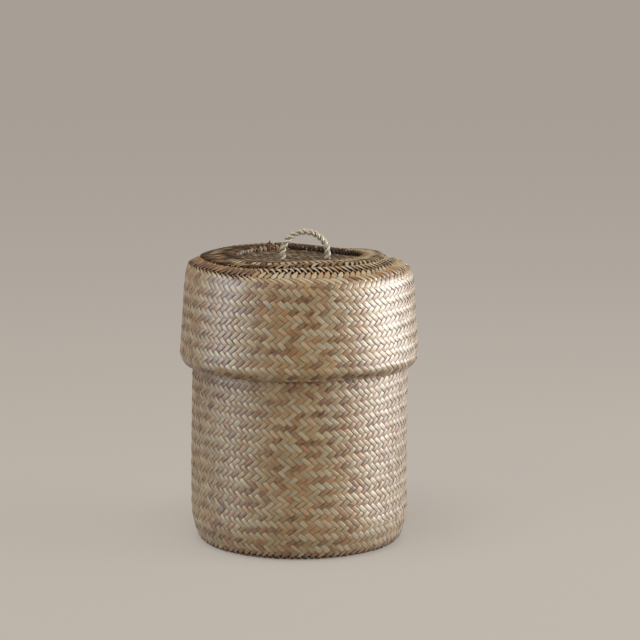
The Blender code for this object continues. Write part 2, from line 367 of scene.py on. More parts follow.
def lid_profile():
    """From inside the hem, round the lid's lower edge, up the skirt, over the shoulder and up the ring."""
    mouth = body_outer(mouth_z) + MOUTH_EASE
    fold_centre = (mouth + FABRIC, mouth_z + FABRIC)
    knee = (hem_radius - LAYER, hem_z + KNEE_HEIGHT)
    knee_inside = moved(knee, *KNEE_TUCK)
    inside = [moved(knee_inside, *INSIDE_END), knee_inside]
    fold = arc(fold_centre, LAYER, 135, 315, 9)
    rise = bezier(fold[-1], moved(knee, *RISE_BEND), moved(knee, *RISE_END), 16)
    shoulder_r = notch_radius + SHOULDER_OUT - SHOULDER_ROUND * cos(SHOULDER_TURN)
    shoulder_z = notch_z - SHOULDER_ROUND * sin(SHOULDER_TURN)
    shoulder = arc((shoulder_r, shoulder_z), SHOULDER_ROUND - LAYER, 0, 62, 14)
    end = (ring_radius, ring_z - LAYER)
    ring = [moved(end, *RING_END), moved(end, *UNDER_CROWN)]
    return Profile([*inside, *fold, *rise[1:], *shoulder, *ring])


def crown_profile():
    """From its folded edge over the ring's inner end, in over the crown and down the wall of the recess."""
    edge = moved((ring_radius, ring_z), *CROWN_EDGE)
    under = [moved((ring_radius, edge[1]), *CROWN_START), moved(edge, *CROWN_UNDERSIDE)]
    over = moved((ring_radius, ring_z), *CROWN_LIP)
    lip = bezier(under[-1], moved(edge, *LIP_BEND), over, 8)[1:]
    wall_radius = panel_radius + LAYER
    wall_top = crown_z - LAYER / 2
    dome_end = (wall_radius + RECESS_CORNER_WIDTH, wall_top)
    dome = bezier(over, (wall_radius + DOME_BEND, wall_top), dome_end, 12)[1:]
    turn_end = (wall_radius, wall_top - RECESS_CORNER_HEIGHT)
    turn = bezier(dome_end, (wall_radius, wall_top), turn_end, 7)[1:]
    return Profile([*under, *lip, *dome, *turn, (wall_radius, panel_z - BELOW_PANEL)])


# A hand-made thing is not quite round, straight or level

# How much, waves round the axis, change with height, and phase
BODY_WAVES = [(0.0007, 2, 0, 0.6), (0.0005, 3, 14, 0), (0.0004, 5, -31, 0)]
SKIRT_WAVES = [(0.0006, 2, 0, -0.9), (0.0005, 4, 22, 0)]
HEM_WAVES = [(0.0007, 2, 0, 1.9), (0.0005, 5, 0, 0.4)]

# How far to the right the rings of the lid's top lie, by distance from the axis
RING_RADII = [0.060, 0.0715, 0.1035, 0.1200, 0.1290]
RING_SHIFTS = [0, 0, -0.0072, -0.0046, 0.0012]

# Where the lid's top, its skirt and its hem begin or end: heights, radii and heights
LID_TOP = (0.285, 0.318)
SKIRT_RADII = (0.124, 0.1285)
HEM_TO_SKIRT = (0.205, 0.23)

# The dents and rises of the lid: how far, and where
SHOULDER_PRESS = 0.0026
PRESS_Z = 0.3105
PRESS_REACH = 0.007
SIDE_RISE = 0.0020
SIDE_RADIUS = 0.12
SIDE_FALL_BEHIND = 1.4
BACK_SAG = 0.0044
FRONT_BULGE = 0.0040
BULGE_ANGLE = 0.26
BULGE_WIDTH = 0.6


def warp_body(points):
    """The basket isn't quite round, and its wall isn't quite straight."""
    x, y, z = points.T
    angle = np.arctan2(x, -y)
    reach = smoothstep(z, 0.004, 0.05) * (1 - smoothstep(z, 0.20, 0.25))
    scale = 1 + waves_round(angle, z, BODY_WAVES) * reach / np.hypot(x, y).clip(0.05)
    return np.stack([x * scale, y * scale, z], -1)


def warp_lid(points):
    """The lid's skirt and hem wave, its rings aren't quite in the middle, and its top is a little bent.

    The left and right of the top stand up, but drop towards the back, and its front bulges. Its back sags
    behind the handle, and the right of the shoulder is pressed in.
    """
    x, y, z = points.T
    r = np.hypot(x, y)
    angle = np.arctan2(x, -y)
    top = smoothstep(z, *LID_TOP)
    skirt = smoothstep(r, *SKIRT_RADII)
    shift = np.interp(r, RING_RADII, RING_SHIFTS) * top
    pressed = SHOULDER_PRESS * bell(z, PRESS_Z, PRESS_REACH) * smoothstep(x, 0.03, 0.11)
    scale = 1 + waves_round(angle, z, SKIRT_WAVES) * skirt / r.clip(0.05)
    raised = SIDE_RISE * (x / SIDE_RADIUS) ** 2 * smoothstep(z, 0.300, 0.318)
    raised = raised * (1 - SIDE_FALL_BEHIND * smoothstep(y, -0.02, 0.05))
    sag = BACK_SAG * smoothstep(y, -0.02, 0.09) * smoothstep(x, -0.03, 0.05)
    sag = sag * (1 - smoothstep(x, 0.055, 0.10))
    bulge = FRONT_BULGE * bell(angle, BULGE_ANGLE, BULGE_WIDTH)
    bulge = bulge * (1 - smoothstep(r, 0.100, 0.122)) * smoothstep(r, 0.060, 0.085)
    hem = waves_round(angle, z, HEM_WAVES) * (1 - smoothstep(z, *HEM_TO_SKIRT))
    height = z + raised + bulge - sag * top + hem
    return np.stack([x * scale + shift - pressed, y * scale, height], -1)


# Meshes


class Mesh:
    """Gathers strips into one object, and keeps each point's place on its strip for the materials."""

    # lift also sets painted shade: where a strip goes under, and in the cord's grooves and crease
    FACTS = ("along", "across", "lift", "tone")

    # Where a strip lies in its own cell of the baked image, and how the cells are shared out
    UV_START = 0.01
    UV_LENGTH = 0.97
    UV_SIDE = 0.05
    UV_GIRTH = 0.90
    STRIPS_PER_SQUARE = 90
    MORE_COLUMNS = 1.4

    def __init__(self):
        self.points = []
        self.quads = []
        self.caps = []
        self.facts = []
        self.shapes = []
        self.count = 0

    def add(self, points, along, across, lift, tone):
        """points is (strips, steps, ring, 3), and the facts broadcast to (strips, steps, ring)."""
        shape = points.shape[:3]
        index = self.count + np.arange(np.prod(shape)).reshape(shape)
        a = index[:, :-1]
        b = index[:, 1:]
        quads = np.stack([a, b, np.roll(b, -1, 2), np.roll(a, -1, 2)], -1)
        facts = [np.broadcast_to(fact, shape).ravel() for fact in (along, across, lift, tone)]
        self.points.append(points.reshape(-1, 3))
        self.quads.append(quads.reshape(-1, 4))
        self.caps.append([index[:, 0], index[:, -1, ::-1]])
        self.facts.append(np.stack(facts, -1))
        self.shapes.append(shape)
        self.count += index.size
        return self

    def unwrapped(self):
        """A row of the baked image for each strip, in columns."""
        total = sum(strips for strips, _, _ in self.shapes)
        columns = max(round((total / self.STRIPS_PER_SQUARE) ** 0.5 * self.MORE_COLUMNS), 1)
        rows = -(-total // columns)
        made = []
        first = 0
        for strips, steps, ring in self.shapes:
            order = first + np.arange(strips)
            left = ((order // rows) / columns)[:, None, None]
            bottom = ((order % rows) / rows)[:, None, None]
            u = (np.arange(steps) / (steps - 1) * self.UV_LENGTH + self.UV_START)[None, :, None] / columns
            v = (np.arange(ring + 1) / ring * self.UV_GIRTH + self.UV_SIDE)[None, None, :] / rows
            u = np.broadcast_to(left + u, (strips, steps, ring + 1))
            v = np.broadcast_to(bottom + v, (strips, steps, ring + 1))
            uv = np.stack([u, v], -1)
            corners = [uv[:, :-1, :-1], uv[:, 1:, :-1], uv[:, 1:, 1:], uv[:, :-1, 1:]]
            made.append(np.stack(corners, 3).reshape(-1, 4, 2))
            first += strips
        return np.concatenate(made)

    def build(self, name, look, warp=None):
        """One object of all the strips, with its faces outward, its facts and its unwrapping."""
        points = np.concatenate(self.points)
        if warp is not None:
            points = warp(points)
        quads = np.concatenate(self.quads)
        caps = [cap.reshape(-1, cap.shape[-1]) for pair in self.caps for cap in pair]
        quad_uvs = self.unwrapped()
        a, b, c, d = (points[quads[:, k]] for k in range(4))
        volume = np.einsum("ij,ij->i", a, np.cross(b, c)) + np.einsum("ij,ij->i", a, np.cross(c, d))
        if volume.sum() < 0:
            quads = quads[:, ::-1]
            quad_uvs = quad_uvs[:, ::-1]
            caps = [cap[:, ::-1] for cap in caps]
        corners = np.concatenate([quads.ravel(), *(cap.ravel() for cap in caps)])
        sizes = np.concatenate([np.full(len(quads), 4), *(np.full(len(cap), cap.shape[1]) for cap in caps)])
        mesh = bpy.data.meshes.new(name)
        mesh.vertices.add(len(points))
        mesh.vertices.foreach_set("co", points.astype(np.float32).ravel())
        mesh.loops.add(len(corners))
        mesh.loops.foreach_set("vertex_index", corners.astype(np.int32))
        mesh.polygons.add(len(sizes))
        mesh.polygons.foreach_set("loop_start", (np.cumsum(sizes) - sizes).astype(np.int32))
        mesh.update(calc_edges=True)
        mesh.shade_smooth()
        facts = np.concatenate(self.facts)
        for k, fact in enumerate(self.FACTS):
            layer = mesh.attributes.new(fact, "FLOAT", "POINT")
            layer.data.foreach_set("value", facts[:, k].astype(np.float32))
        uvs = np.full((len(corners), 2), 0.001)
        uvs[: quads.size] = quad_uvs.reshape(-1, 2)
        mesh.uv_layers.new(name="OFBake").data.foreach_set("uv", uvs.astype(np.float32).ravel())
        mesh.materials.append(look)
        made = bpy.data.objects.new(name, mesh)
        bpy.context.scene.collection.objects.link(made)
        return made


class Plait:
    """Two families of strips, over two and under two, on the surface that surface(X, Y, offset) gives."""

    def __init__(self, surface, columns, phase=0.0):
        self.surface = surface
        self.columns = columns
        self.phase = phase
        self.shift = {side: wobble(columns, UNEVEN_PLACES, (3, 5, 11, 17)) for side, _ in FAMILIES}
        self.strip_tone = {side: random.uniform(0, 1, columns) for side, _ in FAMILIES}

    def between(self, side, index):
        """How far a family's strips are shifted, at any place between two of them."""
        base = np.floor(index).astype(int)
        part = index - base
        values = self.shift[side]
        return values[base % self.columns] * (1 - part) + values[(base + 1) % self.columns] * part

    def strips(self, side, chosen, places, swing=1.0, detail=None):
        """One family's strips, for Mesh.add. side is 1 for those that lean right and -1 for the others.

        places are the crossings to stop at along a strip: one row for all, or one for each strip.
        detail gives what changes with the place: a share of the width, and what is added to the tone.
        """
        y = np.broadcast_to(places, (len(chosen), np.shape(places)[-1]))
        own = self.shift[side]
        middle = chosen + own[chosen % self.columns]
        after = chosen + 1 + own[(chosen + 1) % self.columns]
        before = chosen - 1 + own[(chosen - 1) % self.columns]
        half = (after - before) / 4
        middle = (after + before + 2 * middle) / 4
        crossed = self.between(-side, chosen[:, None] + side * y)
        t = y - side * (crossed - own[chosen % self.columns][:, None]) + self.phase
        over = side * over_under(t)
        number = np.floor((t + 0.5) / 2).astype(int)
        number = number - number.min()
        table = random.uniform(-1, 1, (5, len(chosen), number.max() + 1))
        rise, tilt, tone, size, rare = table[:, np.arange(len(chosen))[:, None], number]
        strip_tone = self.strip_tone[side][chosen % self.columns][:, None] - 0.5
        tone = STRIP_TONE_AND_LIGHT[side] + TONE_OF_STRIP * strip_tone + TONE_OF_FLOAT * tone
        tone = np.where(rare > RARE_DARK, 0.0, tone.clip(LEAST_TONE, 1))
        along = y * CELL_ALONG + chosen[:, None] * STRIP_APART + (0 if side > 0 else FAMILY_APART)
        # How far a float shows; the materials paint shade where it is low
        shown = smoothstep(over, SHOWN_FROM, SHOWN_TO)
        width_waves = waves_along(along, chosen[:, None], WIDTH_WAVE_LENGTH)
        narrow = 1 - END_NARROWING * (1 - shown) + WIDTH_WAVES * width_waves
        narrow = narrow + FLOAT_WIDTH * size * shown
        if detail is not None:
            angle = (2 * middle[:, None] + side * y) * pi / self.columns
            share, added = detail(wrapped(angle), y, over)
            narrow = narrow * share
            tone = (tone + added).clip(0, 1)
        reach = (half[:, None] * STRIP_FILL[side] * narrow)[:, :, None] * ACROSS
        x = 2 * middle[:, None, None] + side * y[:, :, None] + reach
        height = y[:, :, None] - side * reach
        raised = swing * STRIP_SWING[side] * over + FLOAT_RISE * rise * over
        tilted = (FLOAT_TILT * tilt * np.abs(over))[:, :, None] * ACROSS
        section = np.where(SECTION > 0, STRIP_DOME[side], 1.0) * SECTION * STRIP_THICKNESS / 2
        points = self.surface(x, height, raised[:, :, None] + tilted + section)
        return points, along[:, :, None], ACROSS, shown[:, :, None], tone[:, :, None]


def turned_surface(profile, columns, marks, second_share=None):
    """The surface for a Plait that goes round the axis.

    marks pairs crossings with lengths along the profile. A mark may have a second length, which holds where
    second_share of the angle is 1.
    """
    crossings, lengths, *others = np.array(marks).T
    phases = random.uniform(0, 2 * pi, 6)
    lift_waves = [(*wave, phase) for wave, phase in zip(LIFT_WAVES, phases[:3])]
    aside_waves = [(*wave, phase) for wave, phase in zip(ASIDE_WAVES, phases[3:])]

    def length_at(y, angle):
        length = np.interp(y, crossings, lengths)
        if second_share is None:
            return length
        return length + (np.interp(y, crossings, others[0]) - length) * second_share(wrapped(angle))

    def surface(x, y, offset):
        angle = x * pi / columns
        lift = waves_round(angle, y, lift_waves)
        aside = waves_round(angle, y, aside_waves)
        ends = smoothstep(y, 0, STEADY_ENDS) * (1 - smoothstep(y, crossings[-1] - STEADY_ENDS, crossings[-1]))
        r, z = profile.at(length_at(y + lift * ends, angle), offset)
        angle = (x + aside) * pi / columns
        return np.stack([r * np.sin(angle), -r * np.cos(angle), z], -1)

    return surface


def flat_surface(half_column, cell, height, turn):
    """The surface for a level Plait."""

    def surface(x, y, offset):
        east = x * half_column
        north = y * cell
        z = height(np.hypot(east, north)) + offset
        return np.stack([east * cos(turn) - north * sin(turn), east * sin(turn) + north * cos(turn), z], -1)

    return surface


def stops(cells, dense=(), per_cell=STEPS_PER_CELL):
    """Places along a strip, with more of them inside the dense stretches."""
    places = np.linspace(0, cells, round(cells * per_cell) + 1)
    extra = [places[:-1][(places[:-1] > a) & (places[:-1] < b)] + 0.5 / per_cell for a, b in dense]
    return np.unique(np.concatenate([places, *extra]))


SHORTEST_CHORD = 1.5


def chords(side, half_column, cell, radius, steps):
    """The strips of a level plait that cross a circle, and the places to stop at along each."""
    count = int(radius / half_column / 2 * hypot(1, half_column / cell)) + 1
    chosen = np.arange(-count, count + 1)
    a = half_column**2 + cell**2
    b = 4 * chosen * half_column**2 * side
    c = (2 * chosen * half_column) ** 2 - radius**2
    root = np.sqrt((b**2 - 4 * a * c).clip(0))
    long_enough = root / a > SHORTEST_CHORD
    chosen, b, root = chosen[long_enough], b[long_enough], root[long_enough]
    start, end = (-b - root) / (2 * a), (-b + root) / (2 * a)
    return chosen, start[:, None] + (end - start)[:, None] * np.linspace(0, 1, steps)


def place(made, body, slot, *nodes):
    """Says which body a piece rides on, and the solids that it replaces. slot is not used."""
    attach(made, body)
    if nodes:
        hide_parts(*nodes)


# Materials


class Shader:
    """Adds and links the nodes of one material."""

    # Most of a noise lies between these values
    NOISE_LOW = 0.3
    NOISE_HIGH = 0.7

    def __init__(self, name):
        self.material = bpy.data.materials.new(name)
        self.material.use_nodes = True
        self.tree = self.material.node_tree
        self.principled = self.tree.nodes["Principled BSDF"]

    def node(self, kind, inputs, **settings):
        made = self.tree.nodes.new(kind)
        for key, value in settings.items():
            setattr(made, key, value)
        for key, value in inputs.items():
            if isinstance(value, bpy.types.NodeSocket):
                self.tree.links.new(value, made.inputs[key])
            else:
                made.inputs[key].default_value = value
        return made

    def fact(self, name):
        return self.node("ShaderNodeAttribute", {}, attribute_name=name).outputs["Fac"]

    def math(self, operation, a, b=0.0):
        return self.node("ShaderNodeMath", {0: a, 1: b}, operation=operation).outputs[0]

    def times(self, a, b):
        """One colour times another."""
        inputs = {0: 1.0, 6: a, 7: b}
        return self.node("ShaderNodeMix", inputs, data_type="RGBA", blend_type="MULTIPLY").outputs[2]

    def grey(self, value):
        return self.node("ShaderNodeCombineColor", {0: value, 1: value, 2: value}).outputs[0]

    def ramp(self, value, stops_of_colour):
        made = self.node("ShaderNodeValToRGB", {0: value})
        elements = made.color_ramp.elements
        while len(elements) < len(stops_of_colour):
            elements.new(0.5)
        for element, (position, colour) in zip(elements, stops_of_colour):
            element.position = position
            element.color = (*colour, 1.0)
        return made.outputs[0]

    def noise(self, position, stretch, detail=2.0):
        scaled = self.node("ShaderNodeVectorMath", {0: position, 1: stretch}, operation="MULTIPLY").outputs[0]
        return self.node("ShaderNodeTexNoise", {"Vector": scaled, "Scale": 1.0, "Detail": detail}).outputs[0]

    def spread(self, value, low_in, high_in, low_out, high_out):
        inputs = {0: value, 1: low_in, 2: high_in, 3: low_out, 4: high_out}
        return self.node("ShaderNodeMapRange", inputs).outputs[0]

    def spread_noise(self, value, low_out, high_out):
        return self.spread(value, self.NOISE_LOW, self.NOISE_HIGH, low_out, high_out)

    def link(self, output, socket):
        self.tree.links.new(output, self.principled.inputs[socket])

    def set(self, socket, value):
        self.principled.inputs[socket].default_value = value


# Noise along a strip and across it: fine fibres, patches of tone and long stretches of tint
FIBRES = (70.0, 5.0, 1.0)
PATCHES = (150.0, 0.6, 1.0)
STRETCHES = (83.0, 0.4, 1.0)

PATCH_TONE = 0.10
# Painted shade along a strip's two edges, in the grooves between neighbours: how narrow, and how dark
EDGE_NARROWNESS = 9.0
EDGE_SHADE = 0.20
# Painted shade where a strip goes under another: its brown tint, and the lift at which it has faded out
UNDER_SHADE_TINT = (1.15, 0.88, 0.72)
UNDER_SHADE_REACH = 0.8
SMOOTHER = 0.07
ROUGHER = 0.12
BUMP_STRENGTH = 0.35
BUMP_HEIGHT = 0.0002
COAT_ROUGHNESS = 0.50
COAT_IOR = 1.7

TINTS = [
    (0.30, (1.10, 0.93, 0.80)),
    (0.44, (1.02, 1.00, 0.97)),
    (0.54, (0.95, 1.00, 0.93)),
    (0.70, (0.88, 0.95, 1.12)),
]
STRAW_COLOURS = [
    (0.00, (0.17, 0.070, 0.028)),
    (0.05, (0.40, 0.220, 0.105)),
    (0.25, (0.57, 0.360, 0.175)),
    (0.42, (0.64, 0.450, 0.245)),
    (0.58, (0.64, 0.510, 0.310)),
    (0.76, (0.74, 0.600, 0.400)),
    (1.00, (0.83, 0.730, 0.550)),
]
BROWN_COLOURS = [
    (0.00, (0.040, 0.018, 0.009)),
    (0.20, (0.140, 0.062, 0.030)),
    (0.42, (0.300, 0.170, 0.092)),
    (0.62, (0.450, 0.330, 0.195)),
    (0.80, (0.540, 0.450, 0.290)),
    (1.00, (0.680, 0.580, 0.430)),
]
GREY_COLOURS = [
    (0.00, (0.070, 0.038, 0.020)),
    (0.45, (0.190, 0.135, 0.082)),
    (1.00, (0.420, 0.340, 0.240)),
]
CORD_COLOURS = [
    (0.00, (0.860, 0.790, 0.640)),
    (0.50, (0.940, 0.900, 0.790)),
    (1.00, (0.980, 0.970, 0.920)),
]


def strip_material(
    name, colours, gloss=0.40, streak=0.24, under_shade=0.34, coat=1.0, specular=0.4, tinted=False
):
    """Dried flat strips: a tone for each float, long fibre streaks and a satin surface.

    A strip has painted shade at its two edges, and painted shade, dark and brown, where it goes under
    another.
    """
    shader = Shader(name)
    along, across, lift, tone = (shader.fact(fact) for fact in Mesh.FACTS)
    position = shader.node("ShaderNodeCombineXYZ", {0: along, 1: across, 2: 0.0}).outputs[0]
    fibres = shader.noise(position, FIBRES, 3.0)
    patches = shader.noise(position, PATCHES)
    tone = shader.math("ADD", tone, shader.spread_noise(patches, -PATCH_TONE, PATCH_TONE))
    colour = shader.ramp(tone, colours)
    if tinted:
        colour = shader.times(colour, shader.ramp(shader.noise(position, STRETCHES, 0.0), TINTS))
    # Painted shade, dark and brown, where the strip goes under another
    dark = tuple(tint * under_shade for tint in UNDER_SHADE_TINT)
    colour = shader.times(colour, shader.ramp(lift, [(0.0, dark), (UNDER_SHADE_REACH, (1.0, 1.0, 1.0))]))
    streaks = shader.spread_noise(fibres, 1 - streak, 1 + streak)
    # Painted shade along the strip's edges
    from_middle = shader.math("POWER", shader.math("ABSOLUTE", across), EDGE_NARROWNESS)
    edges = shader.spread(from_middle, 0.0, 1.0, 1.0, EDGE_SHADE)
    shader.link(shader.times(colour, shader.grey(shader.math("MULTIPLY", streaks, edges))), "Base Color")
    shader.link(shader.spread_noise(fibres, gloss - SMOOTHER, gloss + ROUGHER), "Roughness")
    bump_inputs = {"Strength": BUMP_STRENGTH, "Distance": BUMP_HEIGHT, "Height": fibres}
    shader.link(shader.node("ShaderNodeBump", bump_inputs).outputs[0], "Normal")
    shader.set("Coat Weight", coat)
    shader.set("Coat Roughness", COAT_ROUGHNESS)
    shader.set("Coat IOR", COAT_IOR)
    shader.set("Specular IOR Level", specular)
    return shader.material


straw = strip_material("straw_plait", STRAW_COLOURS, tinted=True)
brown = strip_material("brown_plait", BROWN_COLOURS, gloss=0.34, coat=0.12, specular=0.2)
grey = strip_material("grey_plait", GREY_COLOURS, gloss=0.45, streak=0.34, coat=0.2, specular=0.2)
pale_cord = strip_material("pale_cord", CORD_COLOURS, gloss=0.46, streak=0.10, under_shade=0.36)


# The basket: its wall, rim and hem are one plait, and the floor another

TIP_GAP = 0.78
TIP_GAP_LENGTH = 0.80
# Painted shadow on the wall just under the lid's edge, and painted shade above it, where the lid covers the
# wall
LID_SHADOW = 0.65
COVERED_SHADE = 0.10

wall_profile = body_profile()
tip_at = wall_profile.nearest(body_outer(TIP_Z) - LAYER, TIP_Z)
tip = between_rows(tip_at, CELL_HEIGHT)
wall_cells = tip + (wall_profile.length - tip_at) / CELL_HEIGHT
covered = tip + (wall_profile.nearest(body_outer(mouth_z) - LAYER, mouth_z) - tip_at) / CELL_HEIGHT
rim_at = tip + (wall_profile.nearest(rim_radius - FABRIC, body_height) - tip_at) / CELL_HEIGHT
wall_marks = [(0, 0), (tip, tip_at), (wall_cells, wall_profile.length)]
wall_surface = turned_surface(wall_profile, BODY_COLUMNS, wall_marks)
wall_plait = Plait(wall_surface, BODY_COLUMNS, phase=-0.5 - tip)
bends = [(tip - 2, tip + 1), (covered - 1.5, covered + 1), (rim_at - 1.5, rim_at + 1.5)]
wall_places = stops(wall_cells, bends)


def base_detail(angle, y, over):
    """The strips' tips part at the bottom edge with painted shade between, and painted shadow under the lid.
    """
    # Painted shade on the strips seen in the gaps between the tips
    gap_shade = -1.0 * (over < 0.2) * bell(y, tip, 1.1)
    lid_shadow = smoothstep(y, covered - 0.55, covered - 0.25) * (1 - smoothstep(y, covered + 0.2, covered + 0.8))
    shade = COVERED_SHADE * smoothstep(y, covered, covered + 0.5)
    return 1 - TIP_GAP * bell(y, tip, TIP_GAP_LENGTH), gap_shade - LID_SHADOW * lid_shadow - shade


for side, family in FAMILIES:
    for group, chosen in enumerate(np.array_split(np.arange(BODY_COLUMNS), WALL_GROUPS)):
        strips = wall_plait.strips(side, chosen, wall_places, detail=base_detail)
        made = Mesh().add(*strips).build(f"basket_strips_{family}_{group + 1}", straw, warp_body)
        first = side > 0 and group == 0
        nodes = ("basket_base_edge", "basket_wall", "basket_rim", "basket_rim_hem") if first else ()
        place(made, "basket", "straw_strips", *nodes)


def floor_height(r):
    """Level, but for a rise near the edge, where the floor lies on the turned strips of the wall."""
    return LAYER + 0.0001 + 0.0019 * smoothstep(r, floor_radius - 0.014, floor_radius - 0.007)


floor_plait = Plait(flat_surface(FLOOR_HALF, FLOOR_CELL, floor_height, FLOOR_TURN), FLOOR_COLUMNS)
for side, family in FAMILIES:
    chosen, places = chords(side, FLOOR_HALF, FLOOR_CELL, floor_radius + FLOOR_OVERLAP, FLOOR_STEPS)
    strips = floor_plait.strips(side, chosen, places)
    made = Mesh().add(*strips).build(f"floor_strips_{family}", straw)
    place(made, "basket", "straw_strips", *(("basket_base",) if side > 0 else ()))


# The lid: skirt, hem and outer ring are one plait, the crown and recess another, and the panel a third

SLOT_DEPTH = 0.76
SLOT_DEPTH_LOST_RIGHT = 0.06
WEAK_SLOT_DEPTH = 0.24
# Painted shade on the row below the ring, on the ring's left and beyond the petals on the right, painted
# shade on the hem, and painted light on the petals on the right
SHADE_BELOW_RING = 0.14
SHADE_ON_LEFT = 0.48
SHADE_BEYOND_PETALS = 0.06
HEM_SHADE = 0.22
PAINTED_PETAL_LIGHT = 0.36

skirt_profile = lid_profile()
notch_at = skirt_profile.nearest(notch_radius - 0.0006, notch_z - LAYER)
notch = between_rows(notch_at, CELL_HEIGHT)
lid_cells = notch + 4
hem_turn = skirt_profile.nearest(hem_radius - LAYER, mouth_z + FABRIC) / CELL_HEIGHT
lid_marks = [
    (0, 0, 0),
    (notch, notch_at, notch_at),
    (notch + 2, notch_at + PETAL_LENGTH, notch_at + SHORT_PETAL),
    (lid_cells, skirt_profile.length, skirt_profile.length),
]


def before_the_back(angle):
    """1 nearly all round, and 0 at the right of the back, so that the rows meet again there."""
    return 1 - smoothstep(angle, *CHANGE_BACK)


def on_the_right(angle):
    """1 where the outer ring starts with a row of short petals, and 0 where its long floats start at once."""
    return smoothstep(angle, *CHANGE_LEFT) * before_the_back(angle)


def petal_shortness(angle):
    """The petals are longest on the left, and shorter in front and again on the right."""
    front = CHANGED_IN_FRONT * smoothstep(angle, *CHANGE_LEFT)
    right = CHANGED_ON_THE_RIGHT * smoothstep(angle, *CHANGE_RIGHT)
    return (front + right) * before_the_back(angle)


def lid_detail(angle, y, over):
    """Slots between the tips at the shoulder, and painted light and shade in and round them."""
    right = on_the_right(angle)
    slots = bell(y, notch - 0.2, 0.90) * (1 - right) + bell(y, notch + 2.15, 0.85) * right
    weak_slots = bell(y, notch - 0.1, 0.6) * right
    share = 1 - (SLOT_DEPTH - SLOT_DEPTH_LOST_RIGHT * right) * slots - WEAK_SLOT_DEPTH * weak_slots
    # Painted shade: strips that go under turn dark where the slots open over them
    added = -1.0 * (over < 0.1) * (slots + 0.6 * weak_slots > 0.35)
    shade_below_ring = smoothstep(y, notch - 2.2, notch - 1.8) * (1 - smoothstep(y, notch - 0.2, notch + 0.2))
    shade_on_left = smoothstep(y, notch - 0.1, notch + 0.2) * (1 - right)
    shade_beyond_petals = smoothstep(y, notch + 1.9, notch + 2.2) * right
    petals = (over > 0) * smoothstep(y, notch - 0.1, notch + 0.2)
    petals = petals * (1 - smoothstep(y, notch + 1.8, notch + 2.1))
    hem = 1 - smoothstep(y, hem_turn, hem_turn + 1.1)
    # Painted shade makes the strips round the slots warmer and browner and the hem darker; painted light
    # makes the petals on the right paler
    darker = SHADE_BELOW_RING * shade_below_ring + SHADE_ON_LEFT * shade_on_left + SHADE_BEYOND_PETALS * shade_beyond_petals + HEM_SHADE * hem
    return share, added - darker + PAINTED_PETAL_LIGHT * petals * right


lid_surface = turned_surface(skirt_profile, LID_COLUMNS, lid_marks, petal_shortness)
lid_plait = Plait(lid_surface, LID_COLUMNS, phase=3.5 - notch)
lid_places = stops(lid_cells, [(0, 8), (notch - 2, lid_cells)])
for side, family in FAMILIES:
    for group, chosen in enumerate(np.array_split(np.arange(LID_COLUMNS), LID_GROUPS)):
        strips = lid_plait.strips(side, chosen, lid_places, detail=lid_detail)
        made = Mesh().add(*strips).build(f"lid_strips_{family}_{group + 1}", straw, warp_lid)
        first = side > 0 and group == 0
        place(made, "lid", "straw_strips", *(("lid_skirt", "lid_hem", "lid_outer_ring") if first else ()))

CROWN_WIDTH = 0.82
CROWN_GAPS = 0.50
# Painted light on the crown from the right and the front; painted shade on strips that go under, and on the
# recess wall, darkest on its right
CROWN_LIGHT = 0.04
LIT_TO_THE_RIGHT = 0.40
LIT_TO_THE_FRONT = 0.14
UNDER_STRIP_SHADE = -0.6
WALL_LIGHT_SIDE = -0.25
WALL_DARK_SIDE = -0.75

top_profile = crown_profile()
edge_at = top_profile.nearest(ring_radius + CROWN_EDGE[0], ring_z - 0.0008)
crown_edge = between_rows(edge_at, CROWN_CELL)
crown_cells = crown_edge + (top_profile.length - edge_at) / CROWN_CELL
wall_at = top_profile.nearest(panel_radius + LAYER + 0.0010, crown_z - LAYER)
recess_top = crown_edge + (wall_at - edge_at) / CROWN_CELL
crown_marks = [(0, 0), (crown_edge, edge_at), (crown_cells, top_profile.length)]
crown_surface = turned_surface(top_profile, CROWN_COLUMNS, crown_marks)
crown_plait = Plait(crown_surface, CROWN_COLUMNS, phase=-0.5 - crown_edge)


def crown_detail(angle, y, over):
    """Brown strips paled to the right by painted light, and painted shade in the gaps and on the recess wall.
    """
    gaps = CROWN_GAPS * bell(y, crown_edge, 0.5)
    lit = CROWN_LIGHT + LIT_TO_THE_RIGHT * np.sin(angle + 0.20) + LIT_TO_THE_FRONT * np.cos(angle)
    wall = smoothstep(y, recess_top - 0.1, recess_top + 0.25)
    recess_wall_shade = WALL_LIGHT_SIDE + WALL_DARK_SIDE * smoothstep(np.sin(angle), -0.5, 0.1)
    return CROWN_WIDTH - gaps, np.where(over < 0, UNDER_STRIP_SHADE, lit) * (1 - wall) + recess_wall_shade * wall


crown_places = stops(crown_cells, per_cell=CROWN_STEPS_PER_CELL)
for side, family in FAMILIES:
    chosen = np.arange(CROWN_COLUMNS)
    strips = crown_plait.strips(side, chosen, crown_places, swing=CROWN_SWING, detail=crown_detail)
    made = Mesh().add(*strips).build(f"crown_strips_{family}", brown, warp_lid)
    place(made, "lid", "brown_strips", *(("lid_inner_ring", "lid_recess_wall") if side > 0 else ()))


def panel_height(r):
    """Level, but for a slight rise to the edge."""
    return panel_z - LAYER + PANEL_EDGE_RISE * smoothstep(r, 0.03, panel_radius)


panel_plait = Plait(flat_surface(PANEL_HALF, PANEL_CELL, panel_height, PANEL_TURN), PANEL_COLUMNS)
for side, family in FAMILIES:
    chosen, places = chords(side, PANEL_HALF, PANEL_CELL, panel_radius + PANEL_OVERLAP, PANEL_STEPS)
    strips = panel_plait.strips(side, chosen, places)
    made = Mesh().add(*strips).build(f"panel_strips_{family}", grey, warp_lid)
    place(made, "lid", "grey_strips", *(("lid_centre_panel",) if side > 0 else ()))


# The handle

